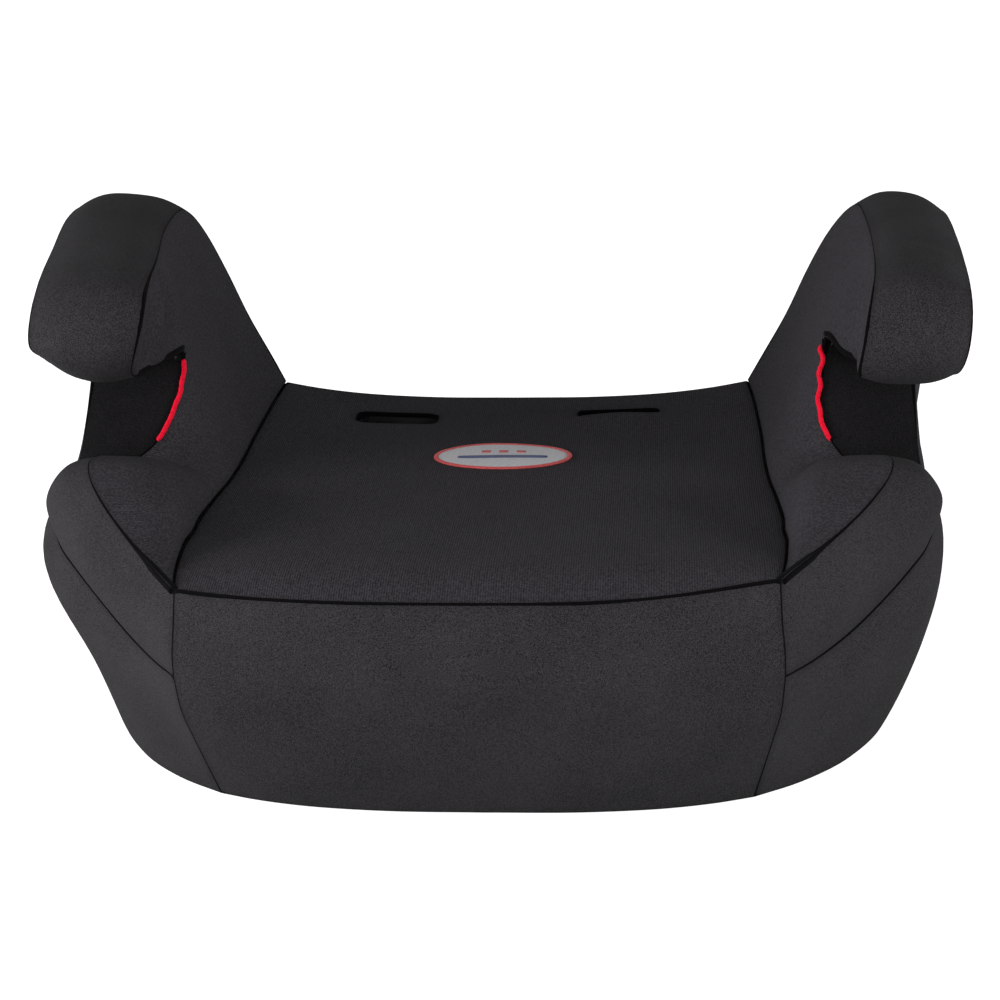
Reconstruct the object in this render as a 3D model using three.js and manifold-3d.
// Backless car booster seat with two fixed belt-guide arms.
// Millimetres, +Z up. The sitter faces -Y, so the sitter's left hand is at +X.
//
// The padded form is drawn once, as sheets lofted between seam lines on the left half.
// Covers, pads and the foam core are layers at named depths below those sheets, so every
// seam, gap and pocket follows the same lines. The right half is the left half mirrored.

import * as THREE from "three";
import { mergeVertices } from "three/addons/utils/BufferGeometryUtils.js";
import Module from "manifold-3d";

const wasm = await Module();
wasm.setup();

// Driving sizes of the whole seat.
const WIDTH = 454;
const DEPTH = 380;
const HEIGHT = 228;
const SEAT_WIDTH = 266;
const SEAT_HEIGHT = 118;

// Layers, from the outside in.
const COVER_THICKNESS = 2.5;
const PAD_THICKNESS = 5;
const LAYER_GAP = 0.6;
const SEAM_GAP = 1;
const PAD_SEAM_GAP = 3;
const PAD_BOTTOM = 6;

// Moulded base tray under the core, on four rubber feet.
const FOOT_HEIGHT = 3.7;
const FOOT_LENGTH = 46;
const FOOT_WIDTH = 22;
const FOOT_FROM_FRONT_HEM = 49;
const FOOT_FROM_REAR_HEM = 65;
const TRAY_THICKNESS = 5;
const FIT = 0.3;

// Reinforcing plate inside each arm.
const FRAME_THICKNESS = 6;
const FRAME_TAB = 22;

// Pockets for the lugs of a clip-on backrest.
const SLOT_LENGTH = 44;
const SLOT_WIDTH = 20;
const SLOT_DEPTH = 34;
const SLOT_SPACING = 120;
const SLOT_FROM_REAR = 64;
const SLOT_CORNER = 5;
const LINER_WALL = 2.5;

// Sewn-on details.
const LABEL_LENGTH = 70;
const LABEL_WIDTH = 50;
const LABEL_THICKNESS = 0.9;
const LABEL_FROM_REAR = 152;
const MARK_DIAMETER = 2.8;
const HEM_BAND_WIDTH = 12;
const HEM_BAND_THICKNESS = 1.4;
const ELASTIC_DIAMETER = 2.4;
const HOOK_WIDTH = 16;
const HOOK_LENGTH = 20;
const HOOK_THICKNESS = 1.3;
const HOOK_CLEARANCE = 1.5;

// Heights worked out from the sizes above.
const TRAY_BOTTOM = FOOT_HEIGHT + FIT;
const TRAY_TOP = TRAY_BOTTOM + TRAY_THICKNESS;
const CORE_BOTTOM = TRAY_TOP + FIT;
const PAD_DEPTH = COVER_THICKNESS + LAYER_GAP;
const CORE_DEPTH = PAD_DEPTH + PAD_THICKNESS + LAYER_GAP;

// The form is drawn at these sizes and stretched to the driving ones.
const DRAWN = { halfWidth: 227, halfSeat: 133, halfDepth: 190, seatHeight: 118, height: 228 };

// Stretches a length piecewise: up to the inner mark by one ratio, past it by another.
function stretch(value, drawnInner, drawnOuter, inner, outer) {
  const size = Math.abs(value);
  if (size <= drawnInner) return value * inner / drawnInner;
  const past = (size - drawnInner) * (outer - inner) / (drawnOuter - drawnInner);
  return Math.sign(value) * (inner + past);
}

const placeX = (x) => stretch(x, DRAWN.halfSeat, DRAWN.halfWidth, SEAT_WIDTH / 2, WIDTH / 2);
const placeY = (y) => y * DEPTH / 2 / DRAWN.halfDepth;
const placeZ = (z) => stretch(z, DRAWN.seatHeight, DRAWN.height, SEAT_HEIGHT, HEIGHT);

function place(x, y, z) {
  return new THREE.Vector3(placeX(x), placeY(y), placeZ(z));
}

// ---------------------------------------------------------------- lines and sheets

// A smooth line through points, cut into steps for each interval between them.
function smoothLine(points, steps = 1) {
  const counts = Array.isArray(steps) ? steps : points.slice(1).map(() => steps);
  const curve = new THREE.CatmullRomCurve3(points);
  const line = [points[0].clone()];
  counts.forEach((count, i) => {
    for (let k = 1; k <= count; k += 1) {
      line.push(curve.getPoint((i + k / count) / (points.length - 1)));
    }
  });
  return line;
}

const drawLine = (points, steps) => smoothLine(points.map((p) => place(...p)), steps);

const joinLines = (...lines) => lines.flatMap((line, i) => (i ? line.slice(1) : line));

// A sheet is a list of columns; each column runs across the given lines.
// A given first or last column replaces the sheet's own, and the change fades across it.
function loft(lines, across, { first = null, last = null, flip = false } = {}) {
  const columns = lines[0].map((_, j) => smoothLine(lines.map((line) => line[j]), across));
  const end = columns.length - 1;
  const own = [columns[0], columns[end]].map((column) => column.map((p) => p.clone()));
  columns.forEach((column, j) => column.forEach((point, i) => {
    const far = j / end;
    if (first) point.addScaledVector(first[i].clone().sub(own[0][i]), (1 - far) ** 2);
    if (last) point.addScaledVector(last[i].clone().sub(own[1][i]), far ** 2);
  }));
  return { columns, flip };
}

const mirrorSheet = (sheet) => ({
  columns: sheet.columns.map((column) => column.map((p) => new THREE.Vector3(-p.x, p.y, p.z))),
  flip: !sheet.flip,
});

// ---------------------------------------------------------------- seam lines, left half

// Wing band: top seam, two lines round the bulge, lower seam. Front corner to belt gap.
const wingTop = drawLine([
  [133, -171, 118], [149, -150, 124], [164, -130, 131], [177, -110, 138],
  [186, -90, 143], [188, -78, 146], [184, -56, 141], [174, -27, 124]]);
const wingUpper = drawLine([
  [134, -175, 100], [151, -155, 106], [170, -134, 112], [186, -114, 119],
  [197, -94, 129], [202, -79, 138], [201, -57, 137], [192, -27, 122]]);
const wingLower = drawLine([
  [135.5, -174, 87], [151, -154, 90], [171, -130, 95], [188, -109, 102],
  [202, -90, 112], [210, -76, 120], [214, -56, 121], [209, -26, 118]]);
const wingBottom = drawLine([
  [136, -172, 76], [150, -150, 75], [168, -123, 78], [184, -103, 86],
  [198, -84, 94], [206.5, -70, 99], [213, -50, 105], [217.5, -22, 107]]);

// Side of the seat behind the wing band, down to the hem.
const sideTop = drawLine([
  [217.5, -22, 107], [216, -8, 107], [213.5, 12, 107], [212, 35, 106.5],
  [214, 72, 105.5], [217, 108, 104], [217, 140, 102.5], [212, 158, 101]]);
const sideMiddle = drawLine([
  [131, -158, 38], [148, -137, 38], [169, -115, 38], [182, -97, 39],
  [193, -80, 40], [199, -66, 41], [206, -46, 43], [211, -20, 45],
  [212.5, -6, 46], [214, 14, 46], [215, 36, 46], [216, 72, 46],
  [214.5, 107, 45], [210, 138, 44], [203, 156, 43]]);
const sideUpper = drawLine([
  [134.5, -167, 57], [151, -146, 57], [171.5, -121.5, 59], [187, -102, 65],
  [201, -84.5, 72], [210, -70, 77], [217, -50, 84], [220.5, -22, 86],
  [220.5, -8, 86], [219.5, 12, 86], [219, 35, 86], [220, 72, 85],
  [220, 108, 84], [216, 140, 82], [210, 159, 80]]);
const sideHem = drawLine([
  [124, -137, 0.5], [145, -122, 0.5], [164, -103, 0.5], [175, -87, 0.5],
  [183, -72, 0.5], [188, -59, 0.5], [193, -42, 0.5], [199, -20, 0.5],
  [201.5, -6, 0.5], [204, 14, 0.5], [205.5, 36, 0.5], [206, 70, 0.5],
  [204, 103, 0.5], [199, 132, 0.5], [192, 149, 0.5]]);

// Seat-side seam in the valley between the seat and the side, front corner to rear corner.
const valley = drawLine([
  [133, -171, 118], [135.5, -150, 118.5], [137, -128, 118], [138, -108, 116.5],
  [137.5, -90, 115], [138, -72, 114], [137, -48, 112.5], [135.5, -24, 111],
  [134.5, -10, 110], [133.5, 10, 109], [133, 35, 108], [133, 70, 107],
  [132, 105, 107], [130.5, 138, 107.5], [128, 163, 109]]);
const innerLow = drawLine([
  [133, -171, 118], [137.5, -150, 119.5], [140.5, -129, 122.5], [141, -109, 126],
  [141.5, -91, 127], [142.5, -74, 127], [143, -50, 124], [144, -25, 119],
  [144, -11, 119], [142, 9, 119], [141, 33, 119], [141, 70, 119],
  [140, 107, 120], [139, 143, 120.5], [136, 170, 121]]);
const innerHigh = drawLine([
  [133, -171, 118], [140.5, -150.6, 121.3], [147.5, -130, 128.5], [149, -110, 135],
  [152, -92, 139], [155, -77, 141.5], [158, -52, 137], [158, -26, 125],
  [157, -12, 127], [154, 8, 134], [152, 30, 142], [151, 71, 142],
  [151, 110, 142], [150, 146, 142], [149, 176, 143]]);

// Rim of the arm: from the belt gap's corner along the underside, round the nose, over the
// top and down the rear. Each entry is the inner edge, the outer edge and the crown.
const RIM_NOSE_START = 4;
const RIM_NOSE_END = 7;
const RIM_TOP_END = 15;
const RIM_SPLIT = 18;
const RIM = [
  [[161, 28, 167], [207, 28, 168], 1], [[166, 5, 169], [212, 5, 170], 1.5],
  [[170, -18, 171], [217, -18, 171], 2], [[173, -36, 173], [219.5, -36, 173], 3],
  [[174, -49, 179], [221, -49, 180], 6], [[172, -57, 191], [221, -57, 191], 7],
  [[170.5, -56, 205], [220, -56, 204], 7], [[171, -46, 216], [219, -46, 214], 7],
  [[172.5, -28, 220], [219, -28, 217], 7], [[173.5, -8, 221], [219, -8, 218], 7],
  [[174.5, 12, 221], [219.5, 12, 218], 7], [[176, 38, 221.5], [221, 38, 218.5], 7.5],
  [[178, 68, 222], [223.5, 68, 219], 7.5], [[179.5, 96, 222], [226, 96, 219], 7.5],
  [[180.5, 120, 220.5], [227, 120, 218], 7.5], [[180, 139, 216], [226.5, 139, 214], 8],
  [[176, 158, 205], [224, 158, 204], 8], [[169, 170, 189], [221, 170, 189], 8],
  [[160, 176, 168], [219, 176, 166], 8], [[149, 176, 143], [218, 178, 143], 9],
  [[136, 170, 121], [216, 172, 120], 13], [[128, 163, 109], [212, 158, 101], 24]];
const NECK = [
  [[174, -27, 124], [209, -26, 118], 1], [[166, -12, 133], [207, -12, 130], 2],
  [[163, 8, 150], [206, 8, 151], 2], RIM[0]];

const RIM_SHARES = [0, 0.25, 0.5, 0.75, 1];

// Lines across a rim: shares of the way from the inner to the outer edge, raised by a crown
// that is square to both the rim and its width.
function rimLines(stations) {
  const inner = drawLine(stations.map((s) => s[0]));
  const outer = drawLine(stations.map((s) => s[1]));
  const middle = inner.map((p, i) => p.clone().lerp(outer[i], 0.5));
  const end = middle.length - 1;
  return RIM_SHARES.map((share) => inner.map((p, i) => {
    const along = middle[Math.min(i + 1, end)].clone().sub(middle[Math.max(i - 1, 0)]);
    const out = outer[i].clone().sub(p).cross(along).normalize();
    const crown = stations[i][2] * (1 - Math.abs(2 * share - 1) ** 2.5);
    return p.clone().lerp(outer[i], share).addScaledVector(out, crown);
  }));
}

const rim = rimLines(RIM);
const neckOwn = rimLines(NECK);
const rimInner = rim[0];
const rimOuter = rim[RIM_SHARES.length - 1];
const rimStart = rim.map((line) => line[0]);
const rimEnd = rim.map((line) => line[line.length - 1]);
const neckInner = neckOwn[0];
const neckOuter = neckOwn[RIM_SHARES.length - 1];

// Level line across each face of the arm, from the belt gap's corner to the rear.
const splitInner = smoothLine([
  rimInner[0], place(160, 72, 167), place(159, 112, 167.5), place(159.5, 148, 168),
  rimInner[RIM_SPLIT]]);
const splitOuter = smoothLine([
  rimOuter[0], place(217, 72, 168), place(219, 112, 168), place(220, 148, 168),
  rimOuter[RIM_SPLIT]]);

// ---------------------------------------------------------------- sheets, left half

const RIM_ACROSS = [1, 1, 1, 1];
const FACE_ACROSS = [1, 1, 1];
const WING_ACROSS = [2, 2, 3];
const SKIRT_ACROSS = [2, 2];
const SIDE_ACROSS = [1, 1, 2];
const HALF_SHARES = [0, 0.35, 0.65, 0.85, 1];

// Lines between two end points for each station: shares of x, while y and z change late.
function crossLines(middle, side) {
  return HALF_SHARES.map((share) => middle.map((m, j) => new THREE.Vector3(
    m.x + (side[j].x - m.x) * share,
    m.y + (side[j].y - m.y) * share ** 3,
    m.z + (side[j].z - m.z) * share ** 3)));
}

const transpose = (lines) => lines[0].map((_, j) => lines.map((line) => line[j]));

// Two lines a third and two thirds of the way between a top and a bottom line.
function faceLines(top, bottom, bulge) {
  const between = (share) => top.map((p, i) => {
    const q = p.clone().lerp(bottom[i], share);
    q.x += bulge;
    return q;
  });
  return [top, between(1 / 3), between(2 / 3), bottom];
}

const wingBand = loft([wingTop, wingUpper, wingLower, wingBottom], WING_ACROSS);
const wingFront = wingBand.columns[0];
const wingRear = wingBand.columns[wingBand.columns.length - 1];
const sideLower = loft(
  [joinLines(wingBottom, sideTop), sideUpper, sideMiddle, sideHem], SIDE_ACROSS);
const sideFront = sideLower.columns[0];
const sideRear = sideLower.columns[sideLower.columns.length - 1];

const seatMiddle = [
  [-187, 118], [-166, 123.5], [-146, 123], [-120, 120.5], [-96, 118], [-74, 116],
  [-48, 113.5], [-24, 111.5], [-10, 110.5], [10, 109], [35, 107], [70, 104],
  [105, 101.5], [138, 100], [165, 99]].map(([y, z]) => place(0, y, z));
const seat = loft(crossLines(seatMiddle, valley), HALF_SHARES.slice(1).map(() => 1));
const seatFront = seat.columns[0];
const seatRear = seat.columns[seat.columns.length - 1];

const frontMiddle = [
  [-187, 118], [-189.5, 100], [-190, 87], [-189, 76], [-176, 38], [-155, 0.5]]
  .map(([y, z]) => place(0, y, z));
const frontSide = [
  [133, -171, 118], [134, -175, 100], [135.5, -174, 87], [136, -172, 76],
  [131, -158, 38], [124, -137, 0.5]].map((p) => place(...p));
const front = loft(transpose(crossLines(frontMiddle, frontSide)),
  [...WING_ACROSS, ...SKIRT_ACROSS], { last: joinLines(wingFront, sideFront) });

const backMiddle = [[184, 86], [190, 48], [182, 0.5]].map(([y, z]) => place(0, y, z));
const backSide = [[130, 185, 85], [131, 190, 48], [129, 180, 0.5]].map((p) => place(...p));
const backCentre = loft([seatRear, ...transpose(crossLines(backMiddle, backSide))],
  [1, 1, 2], { flip: true });
const backCorner = loft([
  rimEnd,
  drawLine([[130, 185, 85], [153, 188, 80], [178, 186, 76], [198, 174, 73], [207.5, 157, 72]]),
  drawLine([[131, 190, 48], [154, 189, 48], [176, 183, 46], [193, 171, 45], [203, 156, 43]]),
  drawLine([[129, 180, 0.5], [148, 177, 0.5], [167, 171, 0.5], [181, 162, 0.5],
    [192, 149, 0.5]])],
[1, 1, 2], { last: sideRear, flip: true });

const neck = loft(neckOwn, RIM_ACROSS, { first: wingRear.slice(0, 5), last: rimStart });
const armBand = loft(rim, RIM_ACROSS);
const innerLower = loft(
  [valley, innerLow, innerHigh, joinLines(wingTop, neckInner, splitInner)],
  FACE_ACROSS, { last: rimInner.slice(RIM_SPLIT).reverse() });
const innerUpper = loft(faceLines(
  joinLines(rimInner.slice(0, RIM_NOSE_START + 1).reverse(), splitInner),
  rimInner.slice(RIM_NOSE_END, RIM_TOP_END + 1), 0), FACE_ACROSS,
{ first: rimInner.slice(RIM_NOSE_START, RIM_NOSE_END + 1),
  last: rimInner.slice(RIM_TOP_END, RIM_SPLIT + 1).reverse() });
const outerLower = loft(faceLines(joinLines(neckOuter, splitOuter), sideTop, -1.5), FACE_ACROSS,
  { first: wingRear.slice(4), last: rimOuter.slice(RIM_SPLIT) });
const outerUpper = loft(faceLines(
  rimOuter.slice(RIM_NOSE_END, RIM_TOP_END + 1),
  joinLines(rimOuter.slice(0, RIM_NOSE_START + 1).reverse(), splitOuter), 4.5), FACE_ACROSS,
{ first: rimOuter.slice(RIM_NOSE_START, RIM_NOSE_END + 1).reverse(),
  last: rimOuter.slice(RIM_TOP_END, RIM_SPLIT + 1) });

const halfSheets = {
  seat, front, backCentre, backCorner, wingBand, sideLower, neck, armBand,
  innerLower, innerUpper, outerLower, outerUpper,
};

// ---------------------------------------------------------------- skin

// All sheets share one list of points, so layers of neighbouring sheets meet at a seam.
const WELD = 0.05;
const skinPoints = [];
const skinCells = new Map();

function skinIndex(point) {
  const cell = point.toArray().map((v) => Math.round(v));
  for (let dx = -1; dx <= 1; dx += 1) {
    for (let dy = -1; dy <= 1; dy += 1) {
      for (let dz = -1; dz <= 1; dz += 1) {
        const near = skinCells.get(`${cell[0] + dx},${cell[1] + dy},${cell[2] + dz}`) ?? [];
        const found = near.find((i) => skinPoints[i].distanceTo(point) < WELD);
        if (found !== undefined) return found;
      }
    }
  }
  const key = cell.join(",");
  skinCells.set(key, [...(skinCells.get(key) ?? []), skinPoints.length]);
  skinPoints.push(point.clone());
  return skinPoints.length - 1;
}

// Triangles of a sheet as point numbers, wound so that their normals face out.
function sheetTriangles({ columns, flip }) {
  const ids = columns.map((column) => column.map(skinIndex));
  const triangles = [];
  for (let j = 0; j + 1 < ids.length; j += 1) {
    for (let i = 0; i + 1 < ids[j].length; i += 1) {
      const [a, b, c, d] = [ids[j][i], ids[j][i + 1], ids[j + 1][i + 1], ids[j + 1][i]];
      triangles.push([a, b, c], [a, c, d]);
    }
  }
  return triangles
    .filter(([a, b, c]) => a !== b && b !== c && c !== a)
    .map(([a, b, c]) => (flip ? [a, c, b] : [a, b, c]));
}

const skin = {};
for (const [name, sheet] of Object.entries(halfSheets)) {
  skin[`${name}_left`] = sheetTriangles(sheet);
  skin[`${name}_right`] = sheetTriangles(mirrorSheet(sheet));
}

function triangleNormal([a, b, c], points = skinPoints) {
  const ab = points[b].clone().sub(points[a]);
  const ac = points[c].clone().sub(points[a]);
  return ab.cross(ac);
}

// Outward direction at each skin point. Where sheets meet at an angle it is their mitre: one
// step along it is one step out of every sheet, softened where the sheets almost fold back.
const MITRE_SOFTNESS = 0.15;
const skinOut = skinPoints.map(() => []);
for (const triangles of Object.values(skin)) {
  const sums = new Map();
  for (const triangle of triangles) {
    const normal = triangleNormal(triangle);
    for (const id of triangle) {
      sums.set(id, (sums.get(id) ?? new THREE.Vector3()).add(normal));
    }
  }
  for (const [id, sum] of sums) skinOut[id].push(sum.normalize());
}
const mitres = skinOut.map((normals) => {
  const mean = normals.reduce((sum, n) => sum.add(n), new THREE.Vector3()).normalize();
  const spread = Array(9).fill(0);
  const goal = mean.clone().multiplyScalar(MITRE_SOFTNESS);
  for (const normal of normals) {
    const n = normal.toArray();
    goal.add(normal);
    for (let i = 0; i < 9; i += 1) spread[i] += n[Math.floor(i / 3)] * n[i % 3];
  }
  for (const i of [0, 4, 8]) spread[i] += MITRE_SOFTNESS;
  return goal.applyMatrix3(new THREE.Matrix3().set(...spread).invert());
});

const atDepth = (point, id, depth) => point.clone().addScaledVector(mitres[id], -depth);

// ---------------------------------------------------------------- closed bodies

function geometryOf(points, triangles) {
  const geometry = new THREE.BufferGeometry();
  const values = points.flatMap((p) => [p.x, p.y, p.z]);
  geometry.setAttribute("position", new THREE.Float32BufferAttribute(values, 3));
  geometry.setIndex(triangles.flat());
  return geometry;
}

function solidOf(geometry) {
  const plain = geometry.clone();
  plain.deleteAttribute("normal");
  plain.deleteAttribute("uv");
  const merged = mergeVertices(plain);
  return new wasm.Manifold(new wasm.Mesh({
    numProp: 3,
    vertProperties: new Float32Array(merged.attributes.position.array),
    triVerts: new Uint32Array(merged.index.array),
  }));
}

function geometryFrom(solid) {
  const mesh = solid.getMesh();
  const geometry = new THREE.BufferGeometry();
  const values = new Float32Array(mesh.vertProperties);
  geometry.setAttribute("position", new THREE.BufferAttribute(values, 3));
  geometry.setIndex(Array.from(mesh.triVerts));
  return geometry;
}

// The piece that is left after a cut, without the crumbs trimmed off at its edges.
const mainPiece = (solid) => solid.decompose().sort((a, b) => b.volume() - a.volume())[0];

const cut = (geometry, ...tools) => geometryFrom(mainPiece(
  tools.reduce((solid, tool) => solid.subtract(solidOf(tool)), solidOf(geometry))));

const keepInside = (geometry, tool) => geometryFrom(mainPiece(
  solidOf(geometry).intersect(solidOf(tool))));

// Edges that only one triangle uses, in that triangle's direction.
function openEdges(triangles) {
  const used = new Map();
  for (const [a, b, c] of triangles) {
    for (const [p, q] of [[a, b], [b, c], [c, a]]) used.set(`${p},${q}`, [p, q]);
  }
  return [...used.values()].filter(([p, q]) => !used.has(`${q},${p}`));
}

// Skin points of a piece, with its open edges drawn in by half a seam gap.
function insetPoints(triangles, inset) {
  const pulls = new Map();
  const edges = new Map(openEdges(triangles).map(([p, q]) => [`${p},${q}`, [p, q]]));
  for (const [a, b, c] of triangles) {
    const normal = triangleNormal([a, b, c]).normalize();
    for (const [p, q] of [[a, b], [b, c], [c, a]]) {
      if (edges.has(`${p},${q}`)) {
        const along = skinPoints[q].clone().sub(skinPoints[p]).normalize();
        const inward = normal.clone().cross(along);
        for (const id of [p, q]) pulls.set(id, [...(pulls.get(id) ?? []), inward]);
      }
    }
  }
  const points = new Map();
  for (const id of triangles.flat()) {
    const point = skinPoints[id].clone();
    const inward = pulls.get(id);
    if (inward) {
      const mean = inward.reduce((sum, v) => sum.add(v.clone()), new THREE.Vector3()).normalize();
      const least = Math.max(0.5, Math.min(...inward.map((v) => v.dot(mean))));
      point.addScaledVector(mean, inset / least);
    }
    points.set(id, point);
  }
  return points;
}

// A layer of even thickness under some sheets of the skin, closed along its open edges.
function layer(sheetNames, depth, thickness, gap) {
  const triangles = sheetNames.flatMap((name) => skin[name]);
  const inset = insetPoints(triangles, gap / 2);
  const ids = [...inset.keys()];
  const slot = new Map(ids.map((id, i) => [id, i]));
  const count = ids.length;
  const outer = ids.map((id) => atDepth(inset.get(id), id, depth));
  const inner = ids.map((id) => atDepth(inset.get(id), id, depth + thickness));
  const faces = [];
  for (const [a, b, c] of triangles.map((t) => t.map((id) => slot.get(id)))) {
    faces.push([a, b, c], [count + a, count + c, count + b]);
  }
  // Neighbours share the corner-to-corner line of each seam wall, so twisted walls match.
  for (const [from, to] of openEdges(triangles)) {
    const [p, q] = [slot.get(from), slot.get(to)];
    if (from < to) faces.push([p, count + p, count + q], [p, count + q, q]);
    else faces.push([p, count + p, q], [q, count + p, count + q]);
  }
  return geometryOf([...outer, ...inner], faces);
}

// The whole skin at a depth, carried straight down below the floor and closed there.
function bodyAtDepth(depth) {
  const triangles = Object.values(skin).flat();
  const points = skinPoints.map((p, id) => atDepth(p, id, depth));
  const faces = [...triangles];
  const below = new Map();
  const floor = -20;
  const hem = openEdges(triangles);
  for (const [p] of hem) {
    below.set(p, points.length);
    points.push(new THREE.Vector3(points[p].x, points[p].y, floor));
  }
  const centre = points.length;
  points.push(new THREE.Vector3(0, 0, floor));
  for (const [p, q] of hem) {
    faces.push([q, p, below.get(p)], [q, below.get(p), below.get(q)]);
    faces.push([below.get(q), below.get(p), centre]);
  }
  return geometryOf(points, faces);
}

function box(x0, x1, y0, y1, z0, z1) {
  const geometry = new THREE.BoxGeometry(x1 - x0, y1 - y0, z1 - z0);
  return geometry.translate((x0 + x1) / 2, (y0 + y1) / 2, (z0 + z1) / 2);
}

// A rectangle with round corners, raised between two heights.
function roundedBlock(length, width, corner, z0, z1) {
  const [x, y] = [length / 2 - corner, width / 2 - corner];
  const shape = new THREE.Shape();
  shape.absarc(x, y, corner, 0, Math.PI / 2);
  shape.absarc(-x, y, corner, Math.PI / 2, Math.PI);
  shape.absarc(-x, -y, corner, Math.PI, Math.PI * 1.5);
  shape.absarc(x, -y, corner, Math.PI * 1.5, Math.PI * 2);
  const options = { depth: z1 - z0, bevelEnabled: false, curveSegments: 3 };
  return new THREE.ExtrudeGeometry(shape, options).translate(0, 0, z0);
}

// Height of the seat cover's outside at a point of the plan.
function seatHeightAt(x, y) {
  for (const triangle of [...skin.seat_left, ...skin.seat_right]) {
    const [a, b, c] = triangle.map((id) => skinPoints[id]);
    const area = (b.x - a.x) * (c.y - a.y) - (c.x - a.x) * (b.y - a.y);
    const u = ((x - a.x) * (c.y - a.y) - (c.x - a.x) * (y - a.y)) / area;
    const v = ((b.x - a.x) * (y - a.y) - (x - a.x) * (b.y - a.y)) / area;
    if (u >= -1e-6 && v >= -1e-6 && u + v <= 1 + 1e-6) {
      return a.z + u * (b.z - a.z) + v * (c.z - a.z);
    }
  }
  return SEAT_HEIGHT;
}

// ---------------------------------------------------------------- pieces

const seatGroup = new THREE.Group();

const FINISH = {
  knit: { color: 0x232429, roughness: 0.95, metalness: 0 },
  satin: { color: 0x2f2e30, roughness: 0.8, metalness: 0 },
  pad: { color: 0x9a9a96, roughness: 1, metalness: 0 },
  core: { color: 0x3a3b3d, roughness: 0.95, metalness: 0 },
  plastic: { color: 0x1c1d1f, roughness: 0.5, metalness: 0 },
  rubber: { color: 0x151515, roughness: 0.85, metalness: 0 },
  elastic: { color: 0x141414, roughness: 0.9, metalness: 0 },
  thread: { color: 0xd41f30, roughness: 0.6, metalness: 0 },
  label: { color: 0xe8e8ea, roughness: 0.6, metalness: 0 },
};

function add(name, geometry, finish) {
  const mesh = new THREE.Mesh(geometry, new THREE.MeshStandardMaterial(FINISH[finish]));
  mesh.name = name;
  seatGroup.add(mesh);
  return mesh;
}

const SIDES = [["left", 1], ["right", -1]];
const bothHalves = (...names) => names.flatMap((n) => [`${n}_left`, `${n}_right`]);
const oneHalf = (side, ...names) => names.map((n) => `${n}_${side}`);

// Backrest pockets: one through hole in cover and pad, a moulded liner in the core.
const slotY = DEPTH / 2 - SLOT_FROM_REAR;
const slotTop = Math.min(
  seatHeightAt(SLOT_SPACING / 2, slotY + SLOT_WIDTH),
  seatHeightAt(SLOT_SPACING / 2 + SLOT_LENGTH / 2, slotY + SLOT_WIDTH / 2));
const linerTop = slotTop - COVER_THICKNESS - 2 * LAYER_GAP - FIT;
const linerBottom = linerTop - SLOT_DEPTH - LINER_WALL;
const pastTop = slotTop + 30;

function slotTool(side, grow, z0, z1) {
  const tool = roundedBlock(SLOT_LENGTH + 2 * grow, SLOT_WIDTH + 2 * grow, SLOT_CORNER + grow, z0, z1);
  return tool.translate(side * SLOT_SPACING / 2, slotY, 0);
}

const linerTools = SIDES.map(([, side]) => slotTool(side, LINER_WALL + FIT, linerBottom - FIT, pastTop));
const coverTools = SIDES.map(([, side]) => slotTool(side, 0, linerBottom, pastTop));

for (const [name, side] of SIDES) {
  const outer = slotTool(side, LINER_WALL, linerBottom, linerTop);
  const pocket = slotTool(side, 0, linerBottom + LINER_WALL, pastTop);
  add(`slot_liner_${name}`, cut(outer, pocket), "plastic");
}

// Arm plate: stands on the tray, two tabs through it, up the neck and forward in the arm.
const FRAME_OUTLINE = [
  [30, 12], [115, 12], [132, 60], [146, 110], [150, 150], [145, 176], [120, 196], [-28, 200],
  [-35, 195], [-28, 188], [52, 186], [66, 172], [50, 145], [30, 120]];
const FRAME_TABS = [48, 98];
const FRAME_FOOT_X = 188;
const FRAME_LEAN = 0.05;

function framePlate(side, grow, tabGrow) {
  const shape = new THREE.Shape(FRAME_OUTLINE.map(([y, z]) => new THREE.Vector2(
    placeY(y), z === 12 ? CORE_BOTTOM : placeZ(z))));
  const half = FRAME_THICKNESS / 2 + grow;
  const plate = new THREE.ExtrudeGeometry(shape, { depth: 2 * half, bevelEnabled: false });
  plate.translate(0, 0, -half);
  let solid = solidOf(plate);
  for (const y of FRAME_TABS) {
    const reach = FRAME_TAB / 2 + tabGrow;
    const tab = box(placeY(y) - reach, placeY(y) + reach, TRAY_BOTTOM - 4 * tabGrow,
      CORE_BOTTOM + 5, -half, half);
    solid = solid.add(solidOf(tab));
  }
  // The outline is drawn flat; x of the flat drawing is y of the seat, y is z, z is x.
  const lean = new THREE.Matrix4().set(
    0, FRAME_LEAN, 1, placeX(FRAME_FOOT_X) - FRAME_LEAN * CORE_BOTTOM,
    1, 0, 0, 0,
    0, 1, 0, 0,
    0, 0, 0, 1);
  const geometry = geometryFrom(solid).applyMatrix4(lean);
  return side > 0 ? geometry : mirrored(geometry);
}

function mirrored(geometry) {
  const copy = geometry.clone().applyMatrix4(new THREE.Matrix4().makeScale(-1, 1, 1));
  const index = Array.from(copy.index.array);
  for (let i = 0; i < index.length; i += 3) [index[i], index[i + 1]] = [index[i + 1], index[i]];
  copy.setIndex(index);
  return copy;
}

const frameTools = SIDES.map(([, side]) => framePlate(side, FIT, FIT));
for (const [name, side] of SIDES) add(`arm_frame_${name}`, framePlate(side, 0, 0), "plastic");

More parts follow.
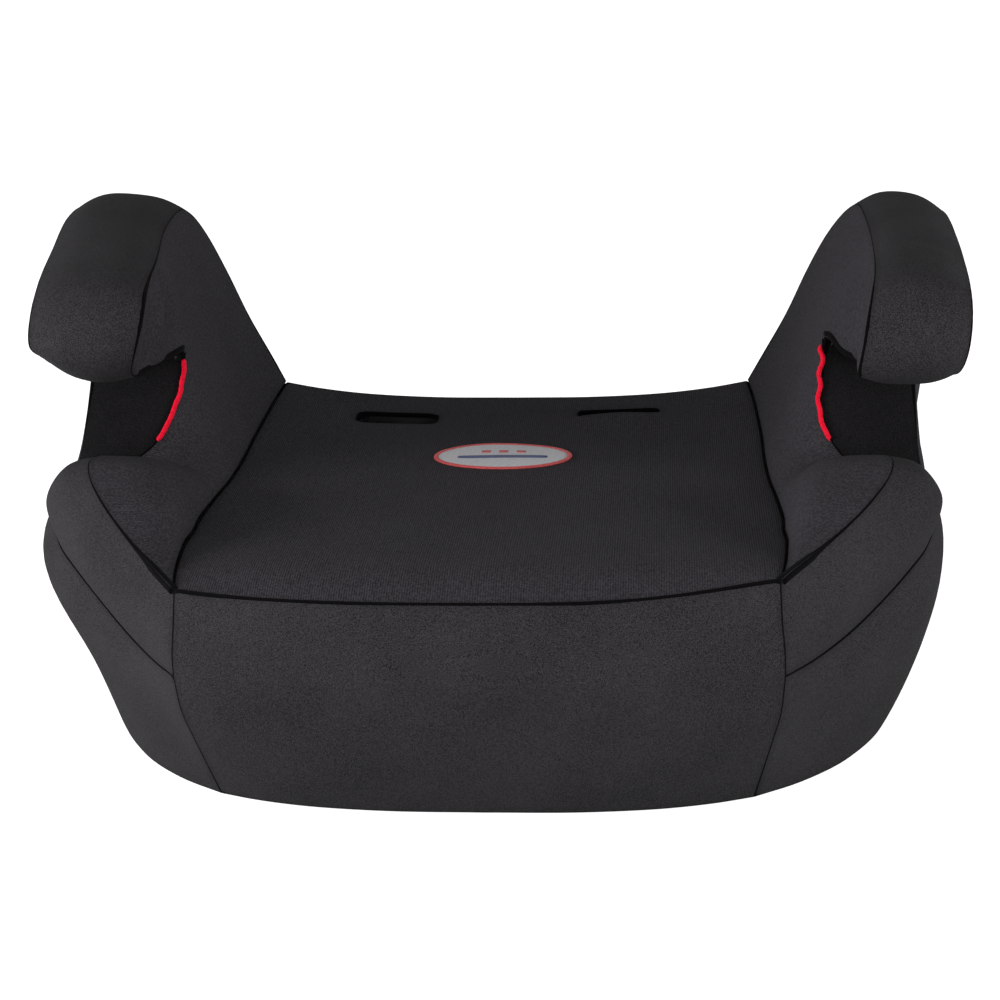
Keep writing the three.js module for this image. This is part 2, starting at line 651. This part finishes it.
// Foam core and base tray are the same body, parted at the tray's top. Where the form is
// tight, the body is kept inside the room left for the pads.
const overCore = bodyAtDepth(CORE_DEPTH - LAYER_GAP / 2);
const body = keepInside(bodyAtDepth(CORE_DEPTH), overCore);
const far = WIDTH + DEPTH;
const coreBlock = keepInside(body, box(-far, far, -far, far, CORE_BOTTOM, far));
const trayBlank = keepInside(body, box(-far, far, -far, far, TRAY_BOTTOM, TRAY_TOP));

// Hem: the cover's lower edge turned under, with elastic in it and hooks to the tray.
const hemLoop = [];
{
  const next = new Map(openEdges(Object.values(skin).flat()));
  const start = [...next.keys()][0];
  let id = start;
  do {
    hemLoop.push(new THREE.Vector2(skinPoints[id].x, skinPoints[id].y));
    id = next.get(id);
  } while (id !== start);
}
if (THREE.ShapeUtils.isClockWise(hemLoop)) hemLoop.reverse();

function hemInset(distance) {
  const count = hemLoop.length;
  return hemLoop.map((point, i) => {
    const along = hemLoop[(i + 1) % count].clone().sub(hemLoop[(i + count - 1) % count]);
    return point.clone().add(new THREE.Vector2(-along.y, along.x).normalize()
      .multiplyScalar(distance));
  });
}

const HEM_START = COVER_THICKNESS + 1.1;
const HEM_LIFT = 0.6;
const bandShape = new THREE.Shape(hemInset(HEM_START));
bandShape.holes.push(new THREE.Path(hemInset(HEM_START + HEM_BAND_WIDTH)));
const band = new THREE.ExtrudeGeometry(bandShape, { depth: HEM_BAND_THICKNESS, bevelEnabled: false });
add("cover_hem_band", band.translate(0, 0, HEM_LIFT), "knit");

const ELASTIC_INSET = HEM_START + HEM_BAND_WIDTH + FIT + ELASTIC_DIAMETER / 2;

// A closed ring of round section along a loop of the plan.
function ringAlong(loop, radius, height, sections = 8) {
  const count = loop.length;
  const points = loop.flatMap((point, i) => {
    const along = loop[(i + 1) % count].clone().sub(loop[(i + count - 1) % count]);
    const across = new THREE.Vector2(-along.y, along.x).normalize();
    return Array.from({ length: sections }, (_, k) => {
      const angle = k * 2 * Math.PI / sections;
      const shift = radius * Math.cos(angle);
      return new THREE.Vector3(point.x + across.x * shift, point.y + across.y * shift,
        height + radius * Math.sin(angle));
    });
  });
  const faces = [];
  for (let i = 0; i < count; i += 1) {
    for (let k = 0; k < sections; k += 1) {
      const [p, q] = [i * sections, ((i + 1) % count) * sections];
      const next = (k + 1) % sections;
      faces.push([p + k, p + next, q + next], [p + k, q + next, q + k]);
    }
  }
  return geometryOf(points, faces);
}

const elasticHeight = HEM_LIFT + ELASTIC_DIAMETER / 2;
add("hem_elastic", ringAlong(hemInset(ELASTIC_INSET), ELASTIC_DIAMETER / 2, elasticHeight), "elastic");

// J hooks: a tongue under the tray and a tip turned up into a slot of the tray.
const HOOK_START = ELASTIC_INSET + ELASTIC_DIAMETER / 2 + HOOK_CLEARANCE;
const HOOK_LIFT = 1.6;
const HOOK_PLACES = [0.06, 0.94, 0.25, 0.75, 0.44, 0.56];

function hookFrame(share) {
  const loop = hemInset(0);
  const count = loop.length;
  const start = loop.findIndex((p) => Math.abs(p.x) < WELD && p.y < 0);
  const i = (start + Math.round(share * count)) % count;
  const along = loop[(i + 1) % count].clone().sub(loop[(i + count - 1) % count]).normalize();
  const inward = new THREE.Vector2(-along.y, along.x);
  return new THREE.Matrix4().set(
    inward.x, -along.x, 0, loop[i].x,
    inward.y, -along.y, 0, loop[i].y,
    0, 0, 1, 0,
    0, 0, 0, 1);
}

function hookTip(share, grow, z0, z1) {
  const x = HOOK_START + HOOK_LENGTH;
  return box(x - HOOK_THICKNESS - grow, x + grow, -HOOK_WIDTH / 2 - grow, HOOK_WIDTH / 2 + grow, z0, z1)
    .applyMatrix4(hookFrame(share));
}

const hookSlots = HOOK_PLACES.map((share) => hookTip(share, 2 * FIT, 0, TRAY_TOP + 1));
HOOK_PLACES.forEach((share, i) => {
  const tongue = box(HOOK_START, HOOK_START + HOOK_LENGTH, -HOOK_WIDTH / 2, HOOK_WIDTH / 2,
    HOOK_LIFT, HOOK_LIFT + HOOK_THICKNESS).applyMatrix4(hookFrame(share));
  const tip = hookTip(share, 0, HOOK_LIFT, TRAY_TOP - 1);
  add(`cover_hook_${i + 1}`, geometryFrom(solidOf(tongue).add(solidOf(tip))), "plastic");
});
add("base_tray", cut(trayBlank, ...frameTools, ...hookSlots), "plastic");

// Rubber feet under the tray, clear of the hooks that reach in from the hem's corners.
const FRONT_FEET_Y = placeY(-137) + FOOT_FROM_FRONT_HEM;
const REAR_FEET_Y = placeY(177) - FOOT_FROM_REAR_HEM;
const FEET = [
  [-118, FRONT_FEET_Y], [118, FRONT_FEET_Y], [-138, REAR_FEET_Y], [138, REAR_FEET_Y]];
FEET.forEach(([x, y], i) => {
  const foot = roundedBlock(FOOT_LENGTH, FOOT_WIDTH, FOOT_WIDTH / 2 - 1, 0, FOOT_HEIGHT);
  add(`foot_${i + 1}`, foot.translate(placeX(x), y, 0), "rubber");
});

// Pads between core and cover, trimmed above the hem.
const padSpace = box(-far, far, -far, far, PAD_BOTTOM, far);
const underCover = bodyAtDepth(COVER_THICKNESS + LAYER_GAP / 2);
const padRoom = cut(keepInside(underCover, padSpace), overCore);
const pad = (names) => keepInside(
  layer(names, PAD_DEPTH, PAD_THICKNESS, PAD_SEAM_GAP), padRoom);
const cover = (names) => cut(layer(names, 0, COVER_THICKNESS, SEAM_GAP), underCover);

const padMeshes = [
  add("seat_pad", cut(pad(bothHalves("seat")), ...linerTools), "pad"),
  add("front_pad", pad(bothHalves("front")), "pad"),
  add("back_pad", pad(bothHalves("backCentre", "backCorner")), "pad"),
];
for (const [name] of SIDES) {
  padMeshes.push(
    add(`bolster_pad_${name}`, pad(oneHalf(name, "wingBand", "innerLower")), "pad"),
    add(`side_pad_${name}`, pad(oneHalf(name, "sideLower")), "pad"),
    add(`arm_pad_${name}`, pad(oneHalf(name, "neck", "armBand", "innerUpper", "outerUpper",
      "outerLower")), "pad"));
}

// The core is moulded clear of the liners, the arm plates and every pad.
const coreTools = [...linerTools, ...frameTools, ...padMeshes.map((mesh) => mesh.geometry)];
add("seat_core", cut(coreBlock, ...coreTools), "core");

// Sewn cover panels.
add("cover_seat_panel", cut(cover(bothHalves("seat")), ...coverTools), "knit");
add("cover_front_panel", cover(bothHalves("front")), "satin");
add("cover_back_panel", cover(bothHalves("backCentre", "backCorner")), "satin");
for (const [name] of SIDES) {
  add(`cover_inner_side_${name}`, cover(oneHalf(name, "innerLower", "innerUpper")), "knit");
  add(`cover_wing_band_${name}`, cover(oneHalf(name, "wingBand")), "satin");
  add(`cover_side_lower_${name}`, cover(oneHalf(name, "sideLower")), "satin");
  add(`cover_neck_${name}`, cover(oneHalf(name, "neck")), "satin");
  add(`cover_arm_band_${name}`, cover(oneHalf(name, "armBand")), "satin");
  add(`cover_arm_outer_${name}`, cover(oneHalf(name, "outerLower", "outerUpper")), "knit");
}

// Belt marks: a bar of satin stitches up the inner edge of each neck.
function markPath(side) {
  const edge = neckInner.slice(1);
  return new THREE.CatmullRomCurve3(edge.map((point) => {
    const lifted = atDepth(point, skinIndex(point), -MARK_DIAMETER / 2 - 2 * FIT);
    lifted.x *= side;
    return lifted;
  }));
}

for (const [name, side] of SIDES) {
  const section = new THREE.Shape().absarc(0, 0, MARK_DIAMETER / 2, 0, 2 * Math.PI);
  const path = markPath(side);
  const stitch = new THREE.ExtrudeGeometry(section, { steps: 8, curveSegments: 8, extrudePath: path });
  add(`belt_mark_${name}`, stitch, "thread");
}

// Oval label sewn on the seat.
const labelY = DEPTH / 2 - LABEL_FROM_REAR;
const LABEL_SPOKES = 24;
function labelGeometry() {
  const points = [];
  for (const lift of [LAYER_GAP, LAYER_GAP + LABEL_THICKNESS]) {
    points.push(new THREE.Vector3(0, labelY, seatHeightAt(0, labelY) + lift));
    for (let k = 0; k < LABEL_SPOKES; k += 1) {
      const angle = k * 2 * Math.PI / LABEL_SPOKES;
      const x = LABEL_LENGTH / 2 * Math.cos(angle);
      const y = labelY + LABEL_WIDTH / 2 * Math.sin(angle);
      points.push(new THREE.Vector3(x, y, seatHeightAt(x, y) + lift));
    }
  }
  const top = LABEL_SPOKES + 1;
  const faces = [];
  for (let k = 0; k < LABEL_SPOKES; k += 1) {
    const [p, q] = [1 + k, 1 + (k + 1) % LABEL_SPOKES];
    faces.push([0, q, p], [top, top + p, top + q], [p, q, top + q], [p, top + q, top + p]);
  }
  return geometryOf(points, faces);
}
add("seat_label", labelGeometry(), "label");

export default seatGroup;
